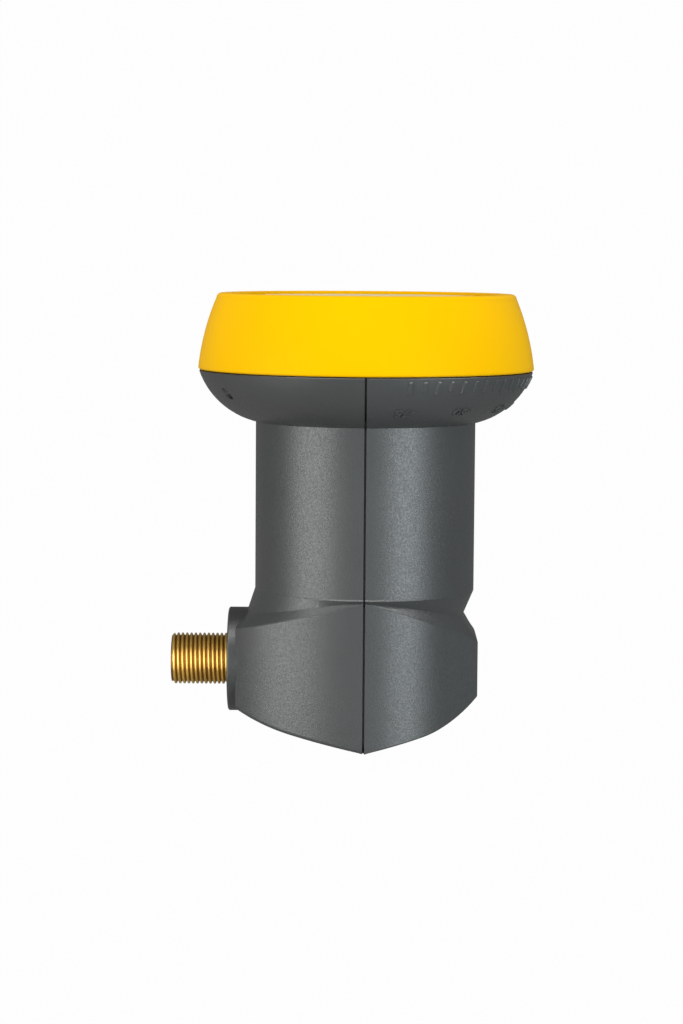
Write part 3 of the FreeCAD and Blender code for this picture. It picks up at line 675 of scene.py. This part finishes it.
def makeBoss():
    form = connectorAxis
    face = form["bossFace"]
    small = form["bossRound"]
    outer = form["bossRadius"]
    inner = outer - form["skirtWall"]
    outline = [(form["bore"], form["bossRoot"]), (inner, form["bossRoot"])]
    outline += [(inner, form["skirtRoot"]), (outer, form["skirtRoot"]), (outer, face - small)]
    outline += arcPoints(outline[-1], (outer - small, face), small, form["roundSteps"])
    outline.append((form["bore"] + form["boreRound"], face))
    outline.append((form["bore"], face - form["boreRound"]))
    boss = turnedPiece("connectorBoss", outline, form["turnSteps"])
    layAlongConnector(boss)
    return boss


# Skew scale: raised ticks and numbers on the flared collar, laid along the collar's own arc.
# Angles are measured from the middle of the plain half, and the numbers stand on their heads
# when the cap is up, because the scale is read on the dish. A tick is a grid whose border is
# sunk into the collar. Its values from "endFrom" on are shares of the half length or half width.
scaleForm = {
    "count": 31, "step": 5.0, "top": 24.0, "length": 2.6, "shortLength": 2.0, "width": 0.9,
    "lift": 0.22, "borderLift": -0.1, "endSlope": 0.24, "gridAcross": 4, "gridAlong": 8,
    "endFrom": 0.7, "borderFrom": 0.99, "outerFrom": 0.4, "outerShare": 0.6, "middleShare": 0.3,
}
numberForm = {"angles": (-75, -50, -25, 0, 25, 50, 75), "size": 2.9, "height": 18.4,
              "lift": 0.2, "depth": 0.14, "bevel": 0.035}


def collarPoint(height, lift, along=0.0):
    # a point of the collar's outline: its height, then how far outwards and along the arc
    form = skinForm
    start, end = (Vector(point) for point in collarEnds())
    chord = end - start
    normal = Vector((chord.y, -chord.x)).normalized()
    side = math.sqrt(form["collarArc"] ** 2 - chord.length_squared / 4)
    centre = (start + end) / 2 + normal * side
    rise = math.asin((height - centre.y) / form["collarArc"]) + along / form["collarArc"]
    reach = form["collarArc"] + lift
    return centre.x + reach * math.cos(rise), centre.y + reach * math.sin(rise)


def makeTicks():
    form = scaleForm
    ticks = []
    for index in range(form["count"]):
        turn = (index - (form["count"] - 1) / 2) * form["step"]
        length = form["shortLength"] if index % 2 else form["length"]
        deselectAll()
        bpy.ops.mesh.primitive_grid_add(x_subdivisions=form["gridAcross"],
                                        y_subdivisions=form["gridAlong"], size=2 * mm)
        tick = bpy.context.object
        half = form["width"] / 2
        for vertex in tick.data.vertices:
            across = vertex.co.x / mm
            along = vertex.co.y / mm
            border = max(abs(across), abs(along)) > form["borderFrom"]
            height = form["top"] - length * (1 - along) / 2
            if not border and along > form["endFrom"]:
                height = form["top"] - form["endSlope"]
            radius, rise = collarPoint(height, form["borderLift" if border else "lift"])
            offset = across * half
            if not border:
                outer = abs(across) > form["outerFrom"]
                share = form["outerShare" if outer else "middleShare"]
                offset = math.copysign(half * share, across)
            vertex.co = Matrix.Rotation(math.radians(turn), 3, "Z") @ Vector(
                (radius * mm, offset * mm, rise * mm))
        ticks.append(tick)
    return ticks


def makeNumbers():
    form = numberForm
    numbers = []
    for turn in form["angles"]:
        deselectAll()
        bpy.ops.object.text_add()
        number = bpy.context.object
        number.data.body = str(turn)
        number.data.size = form["size"]
        number.data.extrude = form["depth"]
        number.data.bevel_depth = form["bevel"]
        number.data.align_x = "CENTER"
        number.data.align_y = "CENTER"
        bpy.ops.object.convert(target="MESH")
        number = bpy.context.object
        for vertex in number.data.vertices:
            x, y, z = vertex.co
            radius, rise = collarPoint(form["height"], z - form["depth"] + form["lift"], -y)
            angle = math.radians(turn) - x / radius
            vertex.co = (radius * math.cos(angle) * mm, radius * math.sin(angle) * mm, rise * mm)
        numbers.append(number)
    return numbers


# Lap behind the parting gap: a band that follows the outline of the seam, further in
lapForm = {"depth": 1.15, "keelDepth": 0.05, "thickness": 0.5, "low": -0.18, "high": 0.5,
           "spigotInset": 0.1, "collarHigh": 24.2, "collarSteps": 8, "neckDrop": 0.5}


def makeLap():
    form = lapForm
    inset = form["depth"]
    skin = skinForm
    spigot = form["spigotInset"]
    half = [(skin["spigotRadius"] - spigot, skin["spigotTop"] - spigot)]
    half.append((skin["spigotRadius"] - spigot, skin["collarTop"] - spigot))
    high = form["collarHigh"]
    steps = form["collarSteps"]
    for step in range(steps + 1):
        height = high - (high - skin["neckTop"]) * step / steps
        half.append(collarPoint(height, -inset))
    half.append((skin["neckRadius"] - inset, skin["neckTop"] - form["neckDrop"]))
    half.append((skin["neckRadius"] - inset, skin["keel"] + form["keelDepth"]))
    line = [(-y, z) for y, z in half] + [(y, z) for y, z in reversed(half)]
    corners = []
    faces = []
    for y, z in line:
        corners += [(form["low"] * mm, y * mm, z * mm), (form["high"] * mm, y * mm, z * mm)]
    for index in range(len(line) - 1):
        first = 2 * index
        faces.append((first, first + 1, first + 3, first + 2))
    lap = fromFaces("partingLap", corners, faces)
    closeUp(lap)
    applyModifier(lap, "SOLIDIFY", thickness=form["thickness"] * mm, offset=-1.0,
                  use_even_offset=True)
    return lap


def makeHousing():
    form = skinForm
    left = makeSkin("connectorSideHousing", -1)
    right = makeSkin("plainSideHousing", 1)
    for skin in (left, right):
        applyModifier(skin, "SOLIDIFY", thickness=form["wall"] * mm, offset=-1.0,
                      use_even_offset=True, use_quality_normals=True)
        softenEdges(skin, form["edgeRound"] * mm, form["edgeAngle"], form["edgeSteps"])
    place = (0, 0, connectorAxis["height"] * mm)
    tools = [cylinderTool(connectorAxis["bore"], *connectorAxis["cut"], place, towardsLeft)]
    for side in (-1, 1):
        place = (0, side * weepForm["offset"] * mm, weepForm["height"] * mm)
        tools.append(cylinderTool(weepForm["radius"], *weepForm["cut"], place, towardsLeft))
    subtract(left, tools)
    joinPieces(left, [makeBoss()])
    joinPieces(right, makeTicks() + makeNumbers() + [makeLap()])
    for skin in (left, right):
        smooth(skin, form["sharpAngle"])
        applyModifier(skin, "WEIGHTED_NORMAL", mode="FACE_AREA", keep_sharp=True)
    return left, right


# F-connector barrel: a core with its socket, and the thread as one helix that the tip's
# chamfer trims
barrelForm = {
    "tip": 35.2, "crest": 4.68, "root": 4.2, "pitch": 0.794, "start": 21.0,
    "crestFlat": 0.24, "rootFlat": 0.10, "socket": 3.4, "socketFloor": 17.9, "bore": 1.6,
    "shank": 3.2, "trayInner": 14.8, "trayFace": 16.6, "hexRadius": 5.5, "hexEnd": 19.2,
    "relief": 4.5, "steps": 72, "tipRound": 0.12, "coreLift": 0.02, "rootStep": 0.1,
    "turnSteps": 96, "sharpAngle": 35,
}


def makeBarrel():
    form = barrelForm
    tip = form["tip"]
    small = form["tipRound"]
    coreRadius = form["root"] + form["coreLift"]
    core = turnedPiece("connectorBarrel", [
        (form["bore"], form["trayInner"]), (form["shank"], form["trayInner"]),
        (form["shank"], form["trayFace"]), (form["hexRadius"], form["trayFace"]),
        (form["hexRadius"], form["hexEnd"]), (form["relief"], form["hexEnd"]),
        (form["relief"], form["start"]), (coreRadius, form["start"] + form["rootStep"]),
        (coreRadius, tip - small), (form["root"] - small, tip),
        (form["socket"] + small, tip), (form["socket"], tip - small),
        (form["socket"], form["socketFloor"]), (form["bore"], form["socketFloor"]),
    ], form["turnSteps"])
    deselectAll()
    bpy.ops.mesh.primitive_circle_add(vertices=5, radius=mm, fill_type="NOTHING")
    thread = bpy.context.object
    pitch = form["pitch"]
    flank = (pitch - form["crestFlat"] - form["rootFlat"]) / 2
    heights = [0, flank, flank + form["crestFlat"], 2 * flank + form["crestFlat"], pitch]
    radii = [form["root"], form["crest"], form["crest"], form["root"], form["root"]]
    for vertex, radius, height in zip(thread.data.vertices, radii, heights):
        vertex.co = (radius * mm, 0, height * mm)
    # the edge that closes the ring goes, which leaves the profile open towards the core
    selectEdges(thread, lambda edge: set(edge.vertices) == {0, 4})
    bpy.ops.mesh.delete(type="EDGE")
    bpy.ops.object.mode_set(mode="OBJECT")
    turns = math.ceil((tip - form["start"]) / pitch) + 1
    applyModifier(thread, "SCREW", angle=2 * math.pi, screw_offset=pitch * mm, iterations=turns,
                  steps=form["steps"], render_steps=form["steps"], axis="Z",
                  use_merge_vertices=True, merge_threshold=mergeReach)
    low = form["start"] * mm
    for vertex in thread.data.vertices:
        height = min(max(vertex.co.z + low - pitch * mm, low), tip * mm)
        reach = math.hypot(vertex.co.x, vertex.co.y)
        most = (form["root"] * mm) + max(tip * mm - height, 0)
        trim = min(1, most / reach)
        vertex.co = (vertex.co.x * trim, vertex.co.y * trim, height)
    closeUp(thread)
    joinPieces(core, [thread])
    layAlongConnector(core)
    smooth(core, form["sharpAngle"])
    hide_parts("f_connector_body")
    dress(core, "turnedBrass")
    return core


cap = makeFeedCap()
left, right = makeHousing()
for skin, node in ((left, "connector_side_shell"), (right, "plain_side_shell")):
    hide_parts(node)
    dress(skin, "housingPlastic")
print("housing done")
barrel = makeBarrel()
litPieces = {"cap": cap, "disc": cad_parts["front_label"], "barrel": barrel}
print("connector done")


# Stage: a floor that curves up into a backdrop, in metres apart from the floor's height. It is
# grey paper for the light, white to the camera and dim in reflections.
stageForm = {"floorHeight": -122.0, "halfWidth": 1.6, "wallHeight": 1.8, "curve": 0.5,
             "curveSteps": 12, "sharpAngle": 60, "paperColour": (0.26, 0.245, 0.225, 1),
             "paperRoughness": 0.9, "seenShare": 0.985, "mirroredShare": 0.17}


def makeStage():
    form = stageForm
    deselectAll()
    bpy.ops.mesh.primitive_plane_add(size=2 * form["halfWidth"],
                                     location=(0, 0, form["floorHeight"] * mm))
    floor = bpy.context.object
    floor.name = "studioFloor"

    def isAtBack(edge):
        return min(floor.data.vertices[index].co.y for index in edge.vertices) > 0

    selectEdges(floor, isAtBack)
    bpy.ops.mesh.extrude_region_move(TRANSFORM_OT_translate={"value": (0, 0, form["wallHeight"])})
    bpy.ops.object.mode_set(mode="OBJECT")
    applyModifier(floor, "BEVEL", width=form["curve"], segments=form["curveSteps"],
                  limit_method="ANGLE")
    smooth(floor, form["sharpAngle"])
    material = bpy.data.materials.new("studioPaper")
    material.use_nodes = True
    nodes = material.node_tree.nodes
    links = material.node_tree.links
    shader = nodes["Principled BSDF"]
    shader.inputs["Base Color"].default_value = form["paperColour"]
    shader.inputs["Roughness"].default_value = form["paperRoughness"]
    rays = nodes.new("ShaderNodeLightPath").outputs
    glow = nodes.new("ShaderNodeEmission")
    glow.inputs["Color"].default_value = white
    glow.inputs["Strength"].default_value = 1.0
    mirrored = addMath(nodes, links, "MAXIMUM", rays["Is Glossy Ray"],
                       rays["Is Transmission Ray"])
    dimmed = addMath(nodes, links, "MULTIPLY", mirrored, form["mirroredShare"])
    seen = addMath(nodes, links, "MULTIPLY", rays["Is Camera Ray"], form["seenShare"])
    share = addMath(nodes, links, "ADD", seen, dimmed)
    blend = addBlend(nodes, links, share, shader.outputs["BSDF"], glow.outputs["Emission"])
    links.new(blend, nodes["Material Output"].inputs["Surface"])
    floor.data.materials.append(material)


# Lamps: soft boxes, placed by their turn round the feed axis and their reach from it, in degrees
# and metres. The left, right and front ones stand on the floor. The one above gives the housing
# its upper gloss, another above lights the cap and its disc, and a small one lights the barrel.
# "only" names the pieces that a lamp lights, and "screened" those that it doesn't light.
lamps = {
    "leftBox": {"turn": -54, "reach": 0.36, "low": -0.12, "high": 0.08, "width": 0.28,
                "watts": 0.88, "colour": (0.98, 1.0, 0.985)},
    "rightBox": {"turn": 42, "reach": 0.36, "low": -0.12, "high": 0.08, "width": 0.21,
                 "watts": 0.84, "colour": (0.88, 0.96, 1.0)},
    "frontBox": {"turn": -4, "reach": 0.42, "low": -0.12, "high": 0.04, "width": 0.30,
                 "watts": 0.12, "colour": (1.0, 1.0, 1.0), "screened": ["cap"]},
    "topBox": {"turn": 8, "reach": 0.20, "low": 0.36, "high": 0.58, "width": 1.3,
               "watts": 5.8, "colour": (1.0, 1.0, 1.0), "screened": ["barrel", "cap"],
               "diffuse": False},
    "capBox": {"turn": 0, "reach": 0.20, "low": 0.38, "high": 0.58, "width": 0.76,
               "watts": 2.7, "colour": (1.0, 0.98, 0.95), "only": ["cap", "disc"],
               "glossy": False},
    "barrelBox": {"turn": -14, "reach": 0.12, "low": -0.118, "high": 0.07, "width": 0.18,
                  "watts": 0.17, "colour": (1.0, 0.95, 0.90), "only": ["barrel"]},
}


def makeLamps():
    for name, lamp in lamps.items():
        light = bpy.data.lights.new(name, "AREA")
        light.shape = "RECTANGLE"
        light.size = lamp["width"]
        light.size_y = lamp["high"] - lamp["low"]
        light.energy = lamp["watts"]
        light.color = lamp["colour"]
        holder = bpy.data.objects.new(name, light)
        bpy.context.collection.objects.link(holder)
        turn = math.radians(lamp["turn"])
        away = Vector((math.sin(turn), -math.cos(turn), 0)) * lamp["reach"]
        holder.location = away + Vector((0, 0, (lamp["low"] + lamp["high"]) / 2))
        facing = holder.location if lamp["low"] > 0 else away
        holder.rotation_mode = "QUATERNION"
        holder.rotation_quaternion = facing.to_track_quat("Z", "Y")
        holder.visible_camera = False
        holder.visible_diffuse = lamp.get("diffuse", True)
        holder.visible_glossy = lamp.get("glossy", True)
        pieces = lamp.get("only", []) + lamp.get("screened", [])
        if pieces:
            listed = bpy.data.collections.new(name + "Pieces")
            for piece in pieces:
                listed.objects.link(litPieces[piece])
            if "screened" in lamp:
                for entry in listed.collection_objects:
                    entry.light_linking.link_state = "EXCLUDE"
            holder.light_linking.receiver_collection = listed


airForm = {"colour": (0.98, 0.98, 1.0, 1), "strength": 0.22}


def makeWorld():
    world = bpy.data.worlds.new("studioAir")
    bpy.context.scene.world = world
    world.use_nodes = True
    nodes = world.node_tree.nodes
    links = world.node_tree.links
    air = nodes["Background"]
    air.inputs["Color"].default_value = airForm["colour"]
    air.inputs["Strength"].default_value = airForm["strength"]
    paper = nodes.new("ShaderNodeBackground")
    paper.inputs["Color"].default_value = white
    paper.inputs["Strength"].default_value = 1.0
    rays = nodes.new("ShaderNodeLightPath").outputs
    blend = addBlend(nodes, links, rays["Is Camera Ray"],
                     air.outputs["Background"], paper.outputs["Background"])
    links.new(blend, nodes["World Output"].inputs["Surface"])


# Camera: half a metre in front, a little above the object, in the photograph's 683 x 1024 frame
cameraForm = {"distance": 500.0, "height": 47.65, "pitch": 5.6, "yaw": 0.49, "roll": 0.4,
              "frameHeight": 1024, "focalPixels": 2748}


def makeCamera():
    form = cameraForm
    camera = bpy.data.cameras.new("photoCamera")
    camera.lens = form["focalPixels"] / form["frameHeight"] * camera.sensor_width
    holder = bpy.data.objects.new("photoCamera", camera)
    bpy.context.collection.objects.link(holder)
    holder.location = (0, -form["distance"] * mm, form["height"] * mm)
    turn = Matrix.Rotation(math.radians(form["yaw"]), 4, "Z")
    tilt = Matrix.Rotation(math.radians(90 - form["pitch"]), 4, "X")
    spin = Matrix.Rotation(math.radians(form["roll"]), 4, "Z")
    holder.rotation_mode = "QUATERNION"
    holder.rotation_quaternion = (turn @ tilt @ spin).to_quaternion()
    bpy.context.scene.camera = holder


makeStage()
makeLamps()
makeWorld()
makeCamera()
bpy.context.scene.view_settings.view_transform = "Standard"
print("stage, lamps and camera done")
